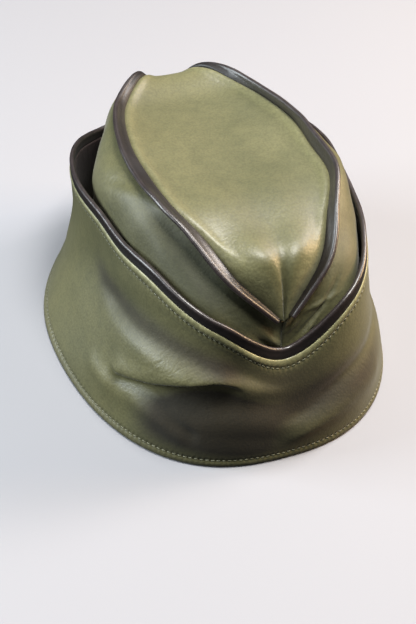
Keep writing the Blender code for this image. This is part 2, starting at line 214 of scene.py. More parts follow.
def bell(x):
    # exp(-x^2): 1 in the middle, gone at 2
    return np.exp(-x * x)


def ease(x):
    # 0 below 0, 1 above 1, smooth between: 3x^2 - 2x^3
    x = np.clip(x, 0, 1)
    return x * x * (3 - 2 * x)


def signedStation(angle):
    # angle / pi from -1 to 1: 0 at the back seam, positive on the left side
    return np.arctan2(np.sin(angle), np.cos(angle)) / math.pi


def rimRadius(angle):
    # superellipse: (|sin a| / half width)^p + (|cos a| / half length)^p = r^-p, p larger at the back
    back = (1 + np.cos(angle)) / 2
    power = cap["rimPowerFront"] + (cap["rimPowerBack"] - cap["rimPowerFront"]) * back
    across = np.abs(np.sin(angle)) / (cap["width"] / 2)
    along = np.abs(np.cos(angle)) / (cap["length"] / 2)
    return (across**power + along**power) ** (-1 / power)


def curtainTop(angle):
    # height of the top edge: curtain height * share at the station
    return curtain["height"] * curtainColumn(1, np.abs(signedStation(angle)))


def leanShare(angle, level):
    # Catmull-Rom up the wall through 0, low, high and 1 at levels 0, 1/3, 2/3 and 1
    station = np.abs(signedStation(angle))
    low = curtainColumn(2, station)
    high = curtainColumn(3, station)
    none = np.zeros_like(low)
    knots = np.stack(np.broadcast_arrays(-low, none, low, high, none + 1, 2 - high))
    scaled = np.clip(level, 0, 1) * 3
    first = np.minimum(scaled.astype(int), 2)
    near = [np.take_along_axis(knots, (first + k)[None], 0)[0] for k in range(4)]
    return splineValue(near, scaled - first)


def broadFolds(angle, level):
    # sum of slanted bells: depth * exp(-(s / reach)^2 - (lift / tall)^2)
    signed = signedStation(angle)
    side = np.where(np.sin(angle) >= 0, 1, -1)
    relief = np.zeros(np.broadcast(signed, level).shape)
    for foldSide, where, height, depth, reach, tall, slant in curtain["folds"]:
        away = np.where(side == foldSide, np.abs(signed), -np.abs(signed)) - where
        lift = level - height - slant * away
        relief += curtain["foldDepth"] * depth * bell(away / reach) * bell(lift / tall)
    return relief * np.clip(level / 0.1, 0, 1) * np.clip((1 - level) / 0.12, 0, 1)


def lineLevel(x, xs, ys):
    # a broken line with its corners rounded by a short running mean
    steps = (-0.012, -0.006, 0.0, 0.006, 0.012)
    return sum(np.interp(x + step, xs, ys) for step in steps) / len(steps)


def creaseRelief(angle, level):
    # each crease follows its line: depth * exp(-(lift / width)^2), with one width above and one below
    signed = signedStation(angle)
    relief = np.zeros(np.broadcast(signed, level).shape)
    for stations, levels, depth, above, below, fade in curtain["creases"]:
        lift = level - lineLevel(signed, stations, levels)
        width = np.where(lift > 0, above, below)
        ends = ease((signed - stations[0] + fade) / fade) * ease((stations[-1] + fade - signed) / fade)
        relief += depth * bell(lift / width) * ends
    return relief * ease(level / 0.1) * ease((1 - level) / 0.1)


def wallRadius(angle, level):
    # rim radius - lean * share of the lean at this level + broad folds + creases
    angle, level = np.broadcast_arrays(np.asarray(angle, float), np.asarray(level, float))
    lean = curtain["lean"] * curtainColumn(0, np.abs(signedStation(angle)))
    base = rimRadius(angle) - lean * leanShare(angle, level)
    return base + broadFolds(angle, level) + creaseRelief(angle, level)


def insetRadius(angle, level, depth):
    # radius - depth * sqrt(1 + sweep^2 + slope^2), so the depth is measured square to the wall
    step = 1e-3
    radius = wallRadius(angle, level)
    rise = 2 * step * curtainTop(angle)
    slope = (wallRadius(angle, level + step) - wallRadius(angle, level - step)) / rise
    turn = (wallRadius(angle + step, level) - wallRadius(angle - step, level)) / (2 * step)
    topTurn = (curtainTop(angle + step) - curtainTop(angle - step)) / (2 * step)
    sweep = (turn - slope * level * topTurn) / radius
    return radius - depth * np.sqrt(1 + sweep**2 + slope**2)


def polarPoints(angle, radius, height):
    # x = r sin a, y = r cos a, z = height
    angle, radius, height = np.broadcast_arrays(angle, radius, height)
    return np.stack([radius * np.sin(angle), radius * np.cos(angle), height], -1)


def crownDepth():
    # outer leather + gap + lining + gap: how deep the crown's foot lies inside the curtain
    return cap["outerLeather"] + cap["gap"] + cap["liningLeather"] + cap["gap"]


def seamPoints(station, side):
    # x = half width * share, y from the back inset forwards, z = seam height * share
    back = cap["length"] / 2 - crown["backInset"]
    length = cap["length"] - crown["backInset"] - crown["frontInset"]
    x = side * crown["width"] / 2 * seamColumn(1, station)
    y = back - length * seamColumn(0, station)
    z = (curtain["height"] + crown["rise"]) * seamColumn(2, station)
    return np.stack([x, y, z], -1)


def unit(v):
    # each vector over its length
    return v / np.linalg.norm(v, axis=-1, keepdims=True)


def leanAngle(station, side):
    # 0 where the piping lies flat outwards, a quarter turn where it stands up
    return math.pi / 2 * seamColumn(5 if side > 0 else 6, station)


def pipingFrame(station, side, sway=0.0):
    # unit vectors at each station: out = flat cos(lean) + up sin(lean), under = flat sin(lean) - up cos(lean)
    # and up, where flat points outwards from the seam and up stands on the seam and on flat
    tangent = np.gradient(seamPoints(station, side), axis=0)
    flat = unit(np.cross(tangent, (0, 0, -side)))
    up = np.cross(tangent, flat)
    up = unit(up * np.sign(up[:, 2:3]))
    lean = (leanAngle(station, side) + sway)[:, None]
    return flat * np.cos(lean) + up * np.sin(lean), flat * np.sin(lean) - up * np.cos(lean), up


def gridNormals(grid):
    # cross product of the two central differences
    return unit(np.cross(np.gradient(grid, axis=1), np.gradient(grid, axis=0)))


def newPiece(name, points, faces, material):
    # a smooth mesh at the origin that rides on the cap's one body
    mesh = bpy.data.meshes.new(name)
    mesh.from_pydata(points.tolist(), [], faces)
    mesh.materials.append(material)
    mesh.shade_smooth()
    piece = bpy.data.objects.new(name, mesh)
    bpy.context.scene.collection.objects.link(piece)
    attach(piece, "root")
    return piece


def gridPiece(name, points, material, ring, values, uv=None):
    # a closed skin over a grid [along][round the section]: the section is a loop, the length a ring or capped
    rows, cols = points.shape[:2]
    i = np.arange(rows if ring else rows - 1)[:, None]
    j = np.arange(cols)[None, :]

    def corner(a, b):
        return (i + a) % rows * cols + (j + b) % cols

    quads = np.stack(np.broadcast_arrays(corner(0, 0), corner(0, 1), corner(1, 1), corner(1, 0)), -1)
    quads = quads.reshape(-1, 4)
    flat = points.reshape(-1, 3)
    a, b, c, d = (flat[quads[:, k]] for k in range(4))
    volume = (a * np.cross(b, c)).sum() + (a * np.cross(c, d)).sum()
    faces = quads.tolist()
    if not ring:
        faces.append(list(range(cols))[::-1])
        faces.append([(rows - 1) * cols + k for k in range(cols)])
    if volume < 0:
        faces = [face[::-1] for face in faces]
    piece = newPiece(name, flat, faces, material)
    mesh = piece.data
    if uv is not None:
        # u and v run along the rows; the last face of a ring reads one whole turn on
        layer = mesh.uv_layers.new(name="surface")
        here = i + 0 * j
        index = np.stack([here, here, here + 1, here + 1], -1).reshape(-1, 4)
        if volume < 0:
            index = index[:, ::-1]
        corners = uv[index.ravel()]
        spare = len(layer.data) - len(corners)
        corners = np.concatenate([corners, np.zeros((spare, 2))])
        layer.data.foreach_set("uv", corners.ravel())
    for key, value in values.items():
        attribute = mesh.attributes.new(key, "FLOAT", "POINT")
        attribute.data.foreach_set("value", np.broadcast_to(value, (rows, cols)).astype(np.float32).ravel())
    print(name, len(mesh.polygons), "faces")
    return piece


def newGroup(name, inputs, outputs):
    group = bpy.data.node_groups.new(name, "ShaderNodeTree")
    for label, kind, value in inputs:
        socket = group.interface.new_socket(name=label, in_out="INPUT", socket_type=kind)
        socket.default_value = value
    for label, kind in outputs:
        group.interface.new_socket(name=label, in_out="OUTPUT", socket_type=kind)
    return group, group.nodes.new("NodeGroupInput"), group.nodes.new("NodeGroupOutput")


def addNode(tree, kind, **settings):
    node = tree.nodes.new(kind)
    for key, value in settings.items():
        setattr(node, key, value)
    return node


def feed(tree, socket, value):
    # a number or a colour is set on the socket, and an output is linked to it
    if isinstance(value, (int, float)):
        socket.default_value = value
    elif isinstance(value, tuple):
        socket.default_value = (*value, 1)
    else:
        tree.links.new(value, socket)


def mathNode(tree, operation, first, second=None, clamp=False):
    node = addNode(tree, "ShaderNodeMath", operation=operation, use_clamp=clamp)
    feed(tree, node.inputs[0], first)
    if second is not None:
        feed(tree, node.inputs[1], second)
    return node.outputs[0]


def noiseNode(tree, vector, scale, detail, roughness=0.5, distortion=0.0):
    node = addNode(tree, "ShaderNodeTexNoise")
    names = ("Vector", "Scale", "Detail", "Roughness", "Distortion")
    for key, value in zip(names, (vector, scale, detail, roughness, distortion)):
        feed(tree, node.inputs[key], value)
    return node.outputs["Fac"]


def mixColour(tree, factor, first, second, blend="MIX"):
    node = addNode(tree, "ShaderNodeMix", data_type="RGBA", blend_type=blend)
    for index, value in ((0, factor), (6, first), (7, second)):
        feed(tree, node.inputs[index], value)
    return node.outputs[2]


def mapRange(tree, value, fromLow, fromHigh, toLow, toHigh):
    node = addNode(tree, "ShaderNodeMapRange")
    tree.links.new(value, node.inputs[0])
    for index, limit in enumerate((fromLow, fromHigh, toLow, toHigh), 1):
        node.inputs[index].default_value = limit
    return node.outputs[0]


grainSizes = {
    "warpScale": 260.0,
    "warpReach": 0.0016,
    "cellSmoothness": 0.35,
    "wideScale": 420.0,
    "pebble": 0.22,           # share of the pebble and of the wide noise in the height
    "wide": 0.5,
    "wrinkleScale": 150.0,
    "wrinkleTurn": (0.2, 0.5, 0.6),
    "wrinkleStretch": (1.0, 2.2, 1.3),
    "wrinkles": 3.6,
}


def leatherGrain():
    # fine pebble of small cells, broken up by noise, with soft wrinkles where the crumple input asks for them
    tree, inputs, outputs = newGroup(
        "leatherGrain",
        (("Vector", "NodeSocketVector", (0, 0, 0)), ("Cells", "NodeSocketFloat", 900.0),
         ("Crumple", "NodeSocketFloat", 0.0)),
        (("Height", "NodeSocketFloat"), ("Pores", "NodeSocketFloat")),
    )
    vector = inputs.outputs["Vector"]
    warp = addNode(tree, "ShaderNodeTexNoise")
    tree.links.new(vector, warp.inputs["Vector"])
    warp.inputs["Scale"].default_value = grainSizes["warpScale"]
    shift = addNode(tree, "ShaderNodeVectorMath", operation="SCALE")
    tree.links.new(warp.outputs["Color"], shift.inputs[0])
    shift.inputs["Scale"].default_value = grainSizes["warpReach"]
    moved = addNode(tree, "ShaderNodeVectorMath", operation="ADD")
    tree.links.new(vector, moved.inputs[0])
    tree.links.new(shift.outputs[0], moved.inputs[1])
    cells = addNode(tree, "ShaderNodeTexVoronoi", feature="SMOOTH_F1")
    tree.links.new(moved.outputs[0], cells.inputs["Vector"])
    tree.links.new(inputs.outputs["Cells"], cells.inputs["Scale"])
    cells.inputs["Smoothness"].default_value = grainSizes["cellSmoothness"]
    pebble = mapRange(tree, cells.outputs["Distance"], 0.1, 0.75, 1.0, 0.0)
    wide = noiseNode(tree, vector, grainSizes["wideScale"], 2.0)
    wrinkleSpace = addNode(tree, "ShaderNodeMapping")
    tree.links.new(vector, wrinkleSpace.inputs["Vector"])
    wrinkleSpace.inputs["Rotation"].default_value = grainSizes["wrinkleTurn"]
    wrinkleSpace.inputs["Scale"].default_value = grainSizes["wrinkleStretch"]
    folds = noiseNode(tree, wrinkleSpace.outputs[0], grainSizes["wrinkleScale"], 2.0, 0.45, 0.5)
    ridge = mathNode(tree, "MULTIPLY", folds, grainSizes["wrinkles"])
    ridge = mathNode(tree, "MULTIPLY", ridge, inputs.outputs["Crumple"])
    pebbleHeight = mathNode(tree, "MULTIPLY", pebble, grainSizes["pebble"])
    wideHeight = mathNode(tree, "MULTIPLY", wide, grainSizes["wide"])
    fine = mathNode(tree, "ADD", pebbleHeight, wideHeight)
    tree.links.new(mathNode(tree, "ADD", fine, ridge), outputs.inputs["Height"])
    tree.links.new(pebble, outputs.inputs["Pores"])
    return tree


def colourDrift():
    # two noises, one of a hand's width and one of a finger's, move a colour between a dark and a light tone:
    # mask = 0.72 broad + 0.28 small, stretched to 0..1
    tree, inputs, outputs = newGroup(
        "colourDrift",
        (("Vector", "NodeSocketVector", (0, 0, 0)), ("Dark", "NodeSocketColor", (0, 0, 0, 1)),
         ("Light", "NodeSocketColor", (1, 1, 1, 1)), ("Broad", "NodeSocketFloat", 14.0)),
        (("Color", "NodeSocketColor"), ("Mask", "NodeSocketFloat")),
    )
    broad = noiseNode(tree, inputs.outputs["Vector"], inputs.outputs["Broad"], 2.0, 0.5, 0.4)
    small = noiseNode(tree, inputs.outputs["Vector"], 150.0, 3.0, 0.6)
    broad = mathNode(tree, "MULTIPLY", broad, 0.72)
    small = mathNode(tree, "MULTIPLY", small, 0.28)
    mask = mapRange(tree, mathNode(tree, "ADD", broad, small), 0.36, 0.64, 0.0, 1.0)
    colour = mixColour(tree, mask, inputs.outputs["Dark"], inputs.outputs["Light"])
    tree.links.new(colour, outputs.inputs["Color"])
    tree.links.new(mask, outputs.inputs["Mask"])
    return tree


def rubbedEdge():
    # wear that a painted mask asks for, broken up by noise so that it never ends in a straight line
    tree, inputs, outputs = newGroup(
        "rubbedEdge",
        (("Vector", "NodeSocketVector", (0, 0, 0)), ("Amount", "NodeSocketFloat", 0.0),
         ("Color", "NodeSocketColor", (0, 0, 0, 1)), ("Rubbed", "NodeSocketColor", (1, 1, 1, 1))),
        (("Color", "NodeSocketColor"), ("Mask", "NodeSocketFloat")),
    )
    patch = noiseNode(tree, inputs.outputs["Vector"], 220.0, 4.0, 0.65)
    patch = mapRange(tree, patch, 0.35, 0.65, 0.35, 1.0)
    mask = mathNode(tree, "MULTIPLY", inputs.outputs["Amount"], patch, clamp=True)
    colour = mixColour(tree, mask, inputs.outputs["Color"], inputs.outputs["Rubbed"])
    tree.links.new(colour, outputs.inputs["Color"])
    tree.links.new(mask, outputs.inputs["Mask"])
    return tree


grainGroup = leatherGrain()
driftGroup = colourDrift()
wearGroup = rubbedEdge()


def newMaterial(name):
    # a node material with its tree, its shader and the object's own coordinates
    material = bpy.data.materials.new(name)
    material.use_nodes = True
    tree = material.node_tree
    place = addNode(tree, "ShaderNodeTexCoord").outputs["Object"]
    return material, tree, tree.nodes["Principled BSDF"], place


def placeGroup(tree, group, **values):
    node = addNode(tree, "ShaderNodeGroup", node_tree=group)
    for key, value in values.items():
        feed(tree, node.inputs[key], value)
    return node


def attributeValue(tree, name):
    return addNode(tree, "ShaderNodeAttribute", attribute_name=name).outputs["Fac"]


def addBump(tree, shader, height, strength, distance):
    bump = addNode(tree, "ShaderNodeBump")
    bump.inputs["Strength"].default_value = strength
    bump.inputs["Distance"].default_value = distance
    tree.links.new(height, bump.inputs["Height"])
    tree.links.new(bump.outputs[0], shader.inputs["Normal"])


def leatherMaterial(name, look):
    # colour = drift, rubbed at the edges, times the pores' shade and the tint of the painted shade
    material, tree, shader, place = newMaterial(name)
    drift = placeGroup(
        tree, driftGroup, Vector=place, Dark=look["dark"], Light=look["light"], Broad=look["broad"],
    )
    worn = placeGroup(
        tree, wearGroup, Vector=place, Amount=attributeValue(tree, "wear"),
        Color=drift.outputs["Color"], Rubbed=look["rubbed"],
    )
    crumple = attributeValue(tree, "crumple")
    grain = placeGroup(tree, grainGroup, Vector=place, Cells=look["cells"], Crumple=crumple)
    pores = mapRange(tree, grain.outputs["Pores"], 0.0, 0.6, look["poreShade"], 1.0)
    shaded = mixColour(tree, 1.0, worn.outputs["Color"], pores, "MULTIPLY")
    # painted shade: where its mask is high the colour takes a browner tint, and the coat and gloss drop
    paintedShade = mapRange(tree, attributeValue(tree, "paintedShade"), 0.0, 1.0, 0.0, 1.0)
    tint = mixColour(tree, paintedShade, (1.0, 1.0, 1.0), look["deep"])
    shaded = mixColour(tree, 1.0, shaded, tint, "MULTIPLY")
    coat = mapRange(tree, paintedShade, 0.0, 1.0, look["coat"], look["paintedShadeCoat"] * look["coat"])
    tree.links.new(coat, shader.inputs["Coat Weight"])
    tree.links.new(shaded, shader.inputs["Base Color"])
    rough = mapRange(tree, drift.outputs["Mask"], 0.0, 1.0, look["rough"] + 0.05, look["rough"] - 0.05)
    rubbedGloss = mathNode(tree, "MULTIPLY", worn.outputs["Mask"], look["rubbedGloss"])
    rough = mathNode(tree, "SUBTRACT", rough, rubbedGloss)
    rough = mathNode(tree, "ADD", rough, mathNode(tree, "MULTIPLY", paintedShade, look["paintedShadeRough"]))
    tree.links.new(rough, shader.inputs["Roughness"])
    height = grain.outputs["Height"]
    if look["pucker"]:
        # the leather swells between stitches: sin(2 pi u) near the hem ones, sin(2 pi v) near the edge ones
        split = addNode(tree, "ShaderNodeSeparateXYZ")
        tree.links.new(addNode(tree, "ShaderNodeUVMap", uv_map="surface").outputs[0], split.inputs[0])
        for axis, band in (("X", "hemBand"), ("Y", "edgeBand")):
            wave = mathNode(tree, "SINE", mathNode(tree, "MULTIPLY", split.outputs[axis], 2 * math.pi))
            wave = mathNode(tree, "MULTIPLY", wave, attributeValue(tree, band))
            height = mathNode(tree, "ADD", height, mathNode(tree, "MULTIPLY", wave, look["pucker"]))
    addBump(tree, shader, height, look["bump"], look["bumpDepth"])
    shader.inputs["IOR"].default_value = look["ior"]
    shader.inputs["Coat Roughness"].default_value = look["coatRough"]
    shader.inputs["Sheen Weight"].default_value = look["sheen"]
    shader.inputs["Sheen Roughness"].default_value = look["sheenRough"]
    return material


oliveLook = {
    "dark": (0.088, 0.088, 0.038),
    "light": (0.145, 0.138, 0.064),
    "rubbed": (0.36, 0.35, 0.19),
    "deep": (0.17, 0.135, 0.12),  # tint of the painted shade where it lies darkest
    "broad": 16.0,
    "cells": 900.0,
    "poreShade": 0.82,
    "rough": 0.46,
    "rubbedGloss": 0.06,      # how much smoother rubbed leather is, and how much rougher the painted shade makes it
    "paintedShadeRough": 0.34,
    "paintedShadeCoat": 0.1,        # share of the coat that the painted shade keeps
    "bump": 0.45,
    "bumpDepth": 0.0004,
    "pucker": 0.6,
    "ior": 1.55,
    "coat": 0.16,
    "coatRough": 0.42,
    "sheen": 0.12,
    "sheenRough": 0.4,
}
darkLook = {
    **oliveLook,
    "dark": (0.007, 0.005, 0.005),
    "light": (0.017, 0.013, 0.013),
    "rubbed": (0.075, 0.055, 0.055),
    "deep": (0.30, 0.28, 0.28),
    "broad": 30.0,
    "cells": 800.0,
    "poreShade": 0.75,
    "rough": 0.40,
    "bump": 0.60,
    "pucker": 0.0,
    "ior": 1.5,
    "coat": 0.70,
    "coatRough": 0.34,
    "sheen": 0.02,
}
liningLook = dict(darkLook, coat=0.35, light=(0.030, 0.021, 0.022))
threadLook = {
    "dark": (0.10, 0.10, 0.055),
    "light": (0.18, 0.18, 0.12),
    "broad": 60.0,
    "twist": 2600.0,
    "bump": 0.5,
    "bumpDepth": 0.0002,
    "sheen": 0.2,
}

oliveLeather = leatherMaterial("oliveLeather", oliveLook)
# the crown's painted shade has a greener tint
plainOlive = leatherMaterial("plainOlive", dict(oliveLook, pucker=0.0, deep=(0.20, 0.23, 0.18)))
darkLeather = leatherMaterial("darkLeather", darkLook)
liningLeather = leatherMaterial("liningLeather", liningLook)


def threadMaterial():
    # waxed thread: fine twist across each stitch, its tone drifting between two olives
    material, tree, shader, place = newMaterial("waxedThread")
    look = threadLook
    drift = placeGroup(
        tree, driftGroup, Vector=place, Dark=look["dark"], Light=look["light"], Broad=look["broad"],
    )
    tree.links.new(drift.outputs["Color"], shader.inputs["Base Color"])
    twist = noiseNode(tree, place, look["twist"], 2.0)
    tree.links.new(mapRange(tree, twist, 0.3, 0.7, 0.42, 0.60), shader.inputs["Roughness"])
    addBump(tree, shader, twist, look["bump"], look["bumpDepth"])
    shader.inputs["Sheen Weight"].default_value = look["sheen"]
    return material


thread = threadMaterial()


def arcPhase(path):
    # running length round a closed path, counted in whole stitches
    closed = np.concatenate([path, path[:1]])
    length = np.concatenate([[0], np.cumsum(np.linalg.norm(np.diff(closed, axis=0), axis=1))])
    count = int(round(length[-1] / curtain["stitchPitch"]))
    return length / length[-1] * count, count


def outerRelief(height, fromTop):
    # along the hem and along the top edge: pad * bell over the band - channel * bell at the stitch line
    hem, edge = curtain["hemBand"], curtain["edgeBand"]
    width, reach = curtain["channelWidth"], curtain["padReach"]
    relief = -curtain["channel"] * (bell((height - hem) / width) + bell((fromTop - edge) / width))
    hemPad = curtain["pad"] * bell((height - curtain["hemPadMiddle"] * hem) / (reach * hem))
    edgePad = curtain["pad"] * bell((fromTop - curtain["edgePadMiddle"] * edge) / (reach * edge))
    return relief + (hemPad + edgePad)


def softNoise(x, y, seed):
    # sum of sine waves with seeded directions, lengths and phases; about -1 to 1
    waves = 9
    random = np.random.default_rng(seed)
    turns = random.uniform(0, np.pi, waves)
    scales = random.uniform(0.6, 1.9, waves)
    phases = random.uniform(0, 2 * np.pi, waves)
    total = 0
    for turn, scale, phase in zip(turns, scales, phases):
        total = total + np.sin(scale * (x * np.cos(turn) + y * np.sin(turn)) + phase) / waves**0.5
    return total


wrinkleAndShadePatches = {
    # soft patches: strength, signed station, reach, level, tall
    "wrinkled": (
        (0.75, 0.19, 0.09, 0.60, 0.14),
        (0.10, 0.24, 0.10, 0.32, 0.12),
        (0.25, -0.10, 0.08, 0.45, 0.16),
    ),
    "wrinkledAll": 0.08,
    # painted shade on the curtain, strongest in these patches
    "dark": (
        (0.90, -0.055, 0.075, 0.56, 0.16),
        (0.40, -0.02, 0.07, 0.84, 0.13),
        (0.90, -0.15, 0.08, 0.38, 0.12),
    ),
    # two lines of painted shade, as signed stations and levels: the long valley and the lower edge of the
    # bulge
    "valley": (
        (0.09, 0.12, 0.15, 0.20, 0.27, 0.34, 0.43, 0.47),
        (0.81, 0.79, 0.78, 0.75, 0.71, 0.69, 0.68, 0.70),
    ),
    "under": ((-0.02, 0.08, 0.12, 0.16, 0.21, 0.26), (0.56, 0.60, 0.60, 0.52, 0.36, 0.27)),
}


def patchSum(patches, signed, level):
    # sum of strength * exp(-((signed - station) / reach)^2 - ((level - height) / tall)^2)
    total = 0
    for strength, station, reach, height, tall in patches:
        total = total + strength * bell((signed - station) / reach) * bell((level - height) / tall)
    return total


def crumpleMask(angle, level):
    # fine wrinkles: strongest on the left back bulge, a little everywhere else
    return wrinkleAndShadePatches["wrinkledAll"] + patchSum(wrinkleAndShadePatches["wrinkled"], signedStation(angle), level)


def paintedFoldShade(angle, level):
    # painted shade in the curtain's folds: patches + a band along the valley + all that lies under the bulge
    # + the centre, at most 1
    signed = signedStation(angle)
    dark = patchSum(wrinkleAndShadePatches["dark"], signed, level)
    valley = lineLevel(signed, *wrinkleAndShadePatches["valley"])
    ends = ease((signed - 0.05) / 0.06) * ease((0.52 - signed) / 0.10)
    dark = dark + 0.80 * bell((level - valley + 0.02) / 0.070) * ends
    below = ease((lineLevel(signed, *wrinkleAndShadePatches["under"]) - level) / 0.10 + 0.5) * ease(level / 0.20)
    dark = dark + below * ease((signed + 0.02) / 0.10) * ease((0.27 - signed) / 0.07)
    dark = dark + 0.50 * bell((signed - 0.03) / 0.10) * ease(level / 0.2) * ease((0.97 - level) / 0.15)
    return np.clip(dark, 0, 1)


def curtainOuter(angle, level):
    # outer face: wall radius + stitched bands + slow unevenness that fades at the rim and at the edge
    top = curtainTop(angle)
    height = level * top
    radius = wallRadius(angle, level) + outerRelief(height, top - height)
    drift = softNoise(8 * np.cos(angle) + 3 * level, 8 * np.sin(angle) + 6 * level, 3)
    radius = radius + curtain["uneven"] * drift * ease(level / 0.15) * ease((1 - level) / 0.1)
    return polarPoints(angle, radius, height)


def makeCurtain():
    # closed section: hem turned in along the floor, rounded corner, outer wall, round turned edge, inner wall
    angle = np.linspace(0, 2 * math.pi, curtain["turns"], endpoint=False)[:, None]
    top = curtainTop(angle)
    leather, rounding = cap["outerLeather"], curtain["edgeRound"]
    lowHeights = np.array(curtain["lowHeights"])[None, :]
    highGaps = np.array(curtain["highGaps"])[None, :]
    share = np.linspace(0, 1, curtain["rows"] - lowHeights.size - highGaps.size)[None, 1:-1]
    start = lowHeights[0, -1] / top
    stop = 1 - highGaps[0, 0] / top
    level = np.concatenate([lowHeights / top, start + (stop - start) * share, 1 - highGaps / top], 1)
    outer = curtainOuter(angle, level)
    hemEnd = insetRadius(angle, 0 * angle, crownDepth() + leather)
    corner = insetRadius(angle, 0 * angle, 0.0010)
    bottom = np.concatenate([
        polarPoints(angle, hemEnd, 0.00015),
        polarPoints(angle, hemEnd + 0.0003, 0.0),
        polarPoints(angle, (hemEnd + corner) / 2, 0.0),
        polarPoints(angle, corner, 0.0),
        polarPoints(angle, insetRadius(angle, 0.0003 / top, 0.0003), 0.00025),
        polarPoints(angle, wallRadius(angle, 0.0007 / top) + 0.0001, 0.0007),
    ], 1)
    # the turned edge: a half round of slightly more than the leather, from the outer face to the inner one
    outerEnd = insetRadius(angle, 1 - rounding / top, -0.00015)
    innerEnd = insetRadius(angle, 1 - rounding / top, leather)
    middle = (outerEnd + innerEnd) / 2
    half = (outerEnd - innerEnd) / 2
    bend = np.radians([90, 60, 30, 0, -30, -60, -90])[None, :]
    edge = polarPoints(angle, middle + half * np.sin(bend), top - rounding + rounding * np.cos(bend))
    innerStart = leather / top
    innerLevel = innerStart + (1 - innerStart) * np.linspace(1, 0, 16)[None, 1:-1]
    inner = polarPoints(angle, insetRadius(angle, innerLevel, leather), innerLevel * top)
    foot = insetRadius(angle, innerStart, leather)
    hemTop = np.concatenate([
        polarPoints(angle, foot, leather),
        polarPoints(angle, (hemEnd + foot) / 2, leather),
        polarPoints(angle, hemEnd, leather - 0.00015),
    ], 1)
    points = np.concatenate([bottom, outer, edge, inner, hemTop], 1)
    wall = slice(bottom.shape[1], bottom.shape[1] + outer.shape[1])
    names = ("wear", "crumple", "hemBand", "edgeBand", "paintedShade")
    values = {key: np.zeros(points.shape[:2]) for key in names}
    height = level * top
    fromTop = top - height
    aboveHem = height - curtain["hemBand"]
    belowEdge = fromTop - curtain["edgeBand"]
    values["wear"][:, wall] = 0.15 * bell((height - 0.0018) / 0.0016) + 0.9 * bell(fromTop / 0.0016)
    values["wear"][:, :wall.start] = 0.10
    values["wear"][:, wall.stop:wall.stop + bend.size] = 1.0
    values["crumple"][:, wall] = crumpleMask(angle, level)
    values["hemBand"][:, wall] = bell(aboveHem / 0.0017)
    values["edgeBand"][:, wall] = bell(belowEdge / 0.0017)
    # painted shade, the strongest of: the stitched channels, the shade painted in the folds and the foot of
    # the wall
    channels = 0.4 * bell(aboveHem / 0.0006) + 0.4 * bell(belowEdge / 0.0006)
    paintedShade = np.maximum(channels, paintedFoldShade(angle, level))
    values["paintedShade"][:, wall] = np.maximum(paintedShade, 0.4 * bell((height - 0.0015) / 0.0022))
    ring, ringTop = angle[:, 0], top[:, 0]
    edgeLevel = 1 - curtain["edgeBand"] / ringTop
    hemPath = polarPoints(ring, wallRadius(ring, curtain["hemBand"] / ringTop), curtain["hemBand"])
    edgePath = polarPoints(ring, wallRadius(ring, edgeLevel), edgeLevel * ringTop)
    uv = np.stack([arcPhase(hemPath)[0], arcPhase(edgePath)[0]], -1)
    piece = gridPiece("curtainShell", points, oliveLeather, True, values, uv)
    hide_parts("curtain")


stitch = {
    "radius": 0.00027,
    "length": 0.74,           # share of the pitch
    "steps": (0.0, 0.12, 0.5, 0.88, 1.0),
    # at each step, in radii: height over the leather and thickness
    "dip": (-1.4, 0.1, 0.55, 0.1, -1.4),
    "fat": (0.5, 1.0, 1.0, 1.0, 0.5),
    "sides": 6,
    "pathPoints": 1440,
    "normalStep": 0.0004,
}


def stitchRow(name, path, normal):
    # each stitch: a short bar along the path, its ends dipping into the leather, with a six-sided section
    phase, count = arcPhase(path)
    closedPath = np.concatenate([path, path[:1]])
    closedNormal = np.concatenate([normal, normal[:1]])
    steps = np.array(stitch["steps"])
    dip = np.array(stitch["dip"]) * stitch["radius"]
    fat = np.array(stitch["fat"]) * stitch["radius"]
    where = np.arange(count)[:, None] + 0.5 + (steps[None, :] - 0.5) * stitch["length"]
    spot = np.stack([np.interp(where, phase, closedPath[:, k]) for k in range(3)], -1)
    up = unit(np.stack([np.interp(where, phase, closedNormal[:, k]) for k in range(3)], -1))
    along = unit(spot[:, -1] - spot[:, 0])[:, None, :]
    across = unit(np.cross(along, up))
    sides, spans = stitch["sides"], len(steps) - 1
    turn = np.linspace(0, 2 * np.pi, sides, endpoint=False)[None, None, :, None]
    section = np.cos(turn) * across[:, :, None] + np.sin(turn) * up[:, :, None]
    centre = spot + up * dip[None, :, None]
    points = (centre[:, :, None] + fat[None, :, None, None] * section).reshape(-1, 3)
    base = (np.arange(count) * (spans + 1) * sides)[:, None, None]
    low = base + (np.arange(spans) * sides)[None, :, None]
    j = np.arange(sides)[None, None, :]
    k = (j + 1) % sides
    quads = np.stack([low + j, low + k, low + sides + k, low + sides + j], -1).reshape(-1, 4)
    first = base[:, 0] + np.arange(sides)[None, ::-1]
    last = base[:, 0] + spans * sides + np.arange(sides)[None, :]
    faces = quads.tolist() + first.tolist() + last.tolist()
    middles = np.repeat(spot.mean(1), spans * sides, 0)
    a, b, c = (points[quads[:, corner]] - middles for corner in range(3))
    if (a * np.cross(b, c)).sum() < 0:
        faces = [face[::-1] for face in faces]
    newPiece(name, points, faces, thread)
    print(name, count, "stitches")


def makeCurtainStitches():
    # normals: cross product of the path's direction and a small step up the wall, turned outwards
    angle = np.linspace(0, 2 * math.pi, stitch["pathPoints"], endpoint=False)
    top = curtainTop(angle)
    levels = {"hemStitches": curtain["hemBand"] / top, "edgeStitches": 1 - curtain["edgeBand"] / top}
    for name, level in levels.items():
        path = curtainOuter(angle, level)
        above = curtainOuter(angle, level + stitch["normalStep"] / top)
        along = np.roll(path, -1, 0) - np.roll(path, 1, 0)
        normal = unit(np.cross(along, above - path))
        outward = np.sign((normal * path * (1, 1, 0)).sum(-1, keepdims=True))
        stitchRow(name, path, normal * outward)


facing = {
    "turns": 480,
    "rows": 44,
    "ripple": 0.00012,
    "wear": 0.6,
    "crumple": 0.25,
}


